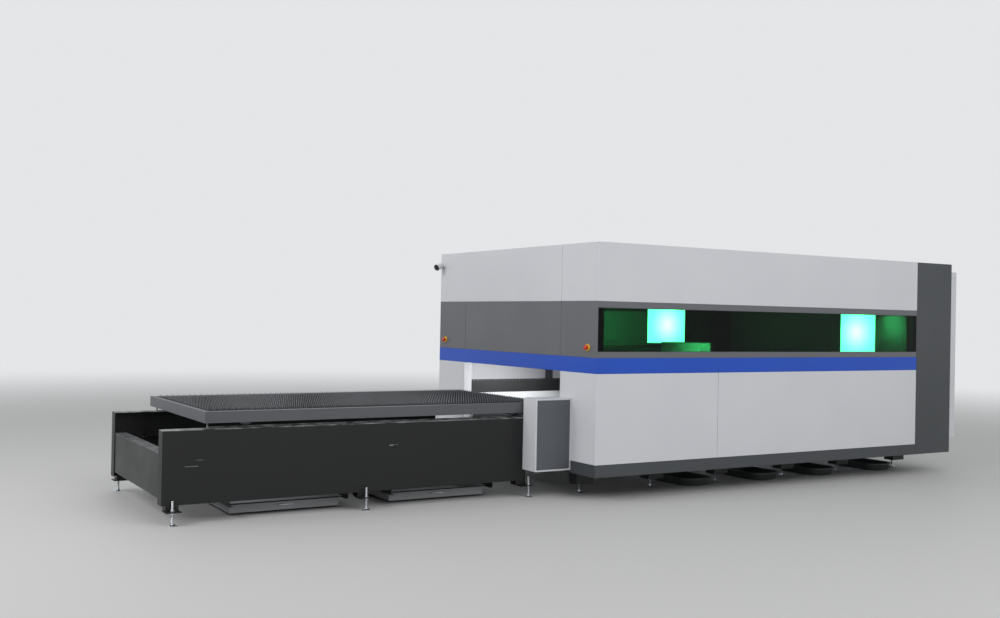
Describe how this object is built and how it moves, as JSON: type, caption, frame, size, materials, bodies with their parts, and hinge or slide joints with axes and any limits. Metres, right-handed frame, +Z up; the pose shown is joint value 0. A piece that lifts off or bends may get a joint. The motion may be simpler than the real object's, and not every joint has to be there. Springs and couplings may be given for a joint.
{
  "type": "fiber laser cutting machine",
  "caption": "Enclosed laser cutting machine for sheet metal with a long windowed cabin and a two-level exchange table of saw-tooth slats.",
  "frame": {"origin": "floor level under the middle of the machine's box", "axes": "+X along the machine from the exchange table to the cabin's tail, +Y from the window side to the rear, +Z up"},
  "size_m": [8.4396, 2.852, 2.25],
  "materials": {
    "white_powder_coat": "satin powder coat, light orange peel",
    "grey_powder_coat": "satin powder coat",
    "dark_grey_powder_coat": "satin powder coat",
    "blue_enamel": "semi-gloss enamel",
    "black_enamel": "semi-gloss enamel with worn top edges",
    "pallet_grey_enamel": "matt enamel, scuffed",
    "mild_steel_slat": "dull laser-cut mild steel",
    "ground_steel": "ground and oiled",
    "laser_safety_glass": "green tinted, clear",
    "tray_steel": "dull grey coat, dusty",
    "lamp_diffuser": "lit opal diffuser",
    "red_plastic": "moulded gloss",
    "bin_plastic": "moulded, dull"
  },
  "bodies": {
    "machine": {"front_upper_panel": "white_powder_coat", "front_lower_panel_left": "white_powder_coat", "front_lower_panel_right": "white_powder_coat", "rear_lower_panel": "white_powder_coat", "rear_upper_panel": "white_powder_coat", "end_upper_panel_front": "white_powder_coat", "end_upper_panel_rear": "white_powder_coat", "end_lower_panel_front": "white_powder_coat", "end_lower_panel_rear": "white_powder_coat", "roof_panel": "white_powder_coat", "tail_wall": "white_powder_coat", "bed_side_front": "white_powder_coat", "bed_side_rear": "white_powder_coat", "drive_box": "white_powder_coat", "tail_cabinet": "white_powder_coat", "bullet_camera": "white_powder_coat", "front_window_band": "grey_powder_coat", "rear_band_panel": "grey_powder_coat", "end_band_front": "grey_powder_coat", "end_band_centre": "grey_powder_coat", "end_band_rear": "grey_powder_coat", "front_skirt": "dark_grey_powder_coat", "rear_skirt": "dark_grey_powder_coat", "tail_front_panel": "dark_grey_powder_coat", "tail_rear_panel": "dark_grey_powder_coat", "front_frame": "dark_grey_powder_coat", "rear_frame": "dark_grey_powder_coat", "end_frame": "dark_grey_powder_coat", "front_blue_stripe": "blue_enamel", "rear_blue_stripe": "blue_enamel", "end_blue_stripe": "blue_enamel", "base_side_front": "black_enamel", "base_side_rear": "black_enamel", "base_end_plate": "black_enamel", "base_cross_frame": "black_enamel", "front_window_pane": "laser_safety_glass", "rear_lamp": "lamp_diffuser", "tail_lamp": "lamp_diffuser", "floor_bin_1": "bin_plastic", "floor_bin_2": "bin_plastic", "floor_bin_3": "bin_plastic", "floor_bin_4": "bin_plastic"},
    "upper_pallet": {"upper_pallet_frame": "pallet_grey_enamel", "upper_slat_grid": "mild_steel_slat"},
    "upper_wheels_left": {"upper_wheelset_left": "ground_steel"},
    "upper_wheels_right": {"upper_wheelset_right": "ground_steel"},
    "lower_pallet": {"lower_pallet_frame": "pallet_grey_enamel", "lower_slat_grid": "mild_steel_slat"},
    "lower_wheels_left": {"lower_wheelset_left": "ground_steel"},
    "lower_wheels_right": {"lower_wheelset_right": "ground_steel"},
    "gantry": {"gantry_beam": "grey_powder_coat"},
    "carriage": {"carriage_cover": "white_powder_coat"},
    "head": {"z_slide": "ground_steel", "cutting_head": "dark_grey_powder_coat"},
    "estop_front": {"estop_button_front": "red_plastic"},
    "estop_rear": {"estop_button_rear": "red_plastic"},
    "drive_door": {"drive_box_door": "grey_powder_coat"},
    "tail_door": {"cabinet_door": "white_powder_coat"},
    "tray_left": {"scrap_tray_left": "tray_steel"},
    "tray_right": {"scrap_tray_right": "tray_steel"}
  },
  "joints": [
    {"name": "pallet_exchange", "type": "slide", "parent": "machine", "child": "upper_pallet", "axis": [1, 0, 0], "range_m": [0, 3.3]},
    {"name": "lower_exchange", "type": "slide", "parent": "machine", "child": "lower_pallet", "axis": [1, 0, 0], "range_m": [-3.3, 0]},
    {"name": "upper_wheels_left_spin", "type": "hinge", "parent": "upper_pallet", "child": "upper_wheels_left", "pos_m": [-3.5628, 0, 0.755], "axis": [0, 1, 0], "continuous": true},
    {"name": "upper_wheels_right_spin", "type": "hinge", "parent": "upper_pallet", "child": "upper_wheels_right", "pos_m": [-1.1208, 0, 0.755], "axis": [0, 1, 0], "continuous": true},
    {"name": "lower_wheels_left_spin", "type": "hinge", "parent": "lower_pallet", "child": "lower_wheels_left", "pos_m": [-0.2628, 0, 0.545], "axis": [0, 1, 0], "continuous": true},
    {"name": "lower_wheels_right_spin", "type": "hinge", "parent": "lower_pallet", "child": "lower_wheels_right", "pos_m": [2.1792, 0, 0.545], "axis": [0, 1, 0], "continuous": true},
    {"name": "gantry_travel", "type": "slide", "parent": "machine", "child": "gantry", "axis": [1, 0, 0], "range_m": [-1.9, 1.4]},
    {"name": "carriage_travel", "type": "slide", "parent": "gantry", "child": "carriage", "axis": [0, 1, 0], "range_m": [-0.61, 0.88]},
    {"name": "head_lift", "type": "slide", "parent": "carriage", "child": "head", "axis": [0, 0, 1], "range_m": [-0.12, 0.04]},
    {"name": "estop_front_press", "type": "slide", "parent": "machine", "child": "estop_front", "axis": [1, 0, 0], "range_m": [0, 0.006]},
    {"name": "estop_rear_press", "type": "slide", "parent": "machine", "child": "estop_rear", "axis": [1, 0, 0], "range_m": [0, 0.006]},
    {"name": "drive_door_hinge", "type": "hinge", "parent": "machine", "child": "drive_door", "pos_m": [-1.0615, -1.061, 0.24], "axis": [0, 0, -1], "range_deg": [0, 120]},
    {"name": "tail_door_hinge", "type": "hinge", "parent": "machine", "child": "tail_door", "pos_m": [4.1998, -0.437, 0.366], "axis": [0, 0, 1], "range_deg": [0, 110]},
    {"name": "tray_left_slide", "type": "slide", "parent": "machine", "child": "tray_left", "axis": [0, -1, 0], "range_m": [0, 1]},
    {"name": "tray_right_slide", "type": "slide", "parent": "machine", "child": "tray_right", "axis": [0, -1, 0], "range_m": [0, 1]}
  ],
  "couplings": [
    {"joint": "lower_exchange", "follows": "pallet_exchange", "ratio": -1},
    {"joint": "upper_wheels_left_spin", "follows": "pallet_exchange", "rad_per_m": 20.833},
    {"joint": "upper_wheels_right_spin", "follows": "pallet_exchange", "rad_per_m": 20.833},
    {"joint": "lower_wheels_left_spin", "follows": "pallet_exchange", "rad_per_m": -20.833},
    {"joint": "lower_wheels_right_spin", "follows": "pallet_exchange", "rad_per_m": -20.833}
  ]
}
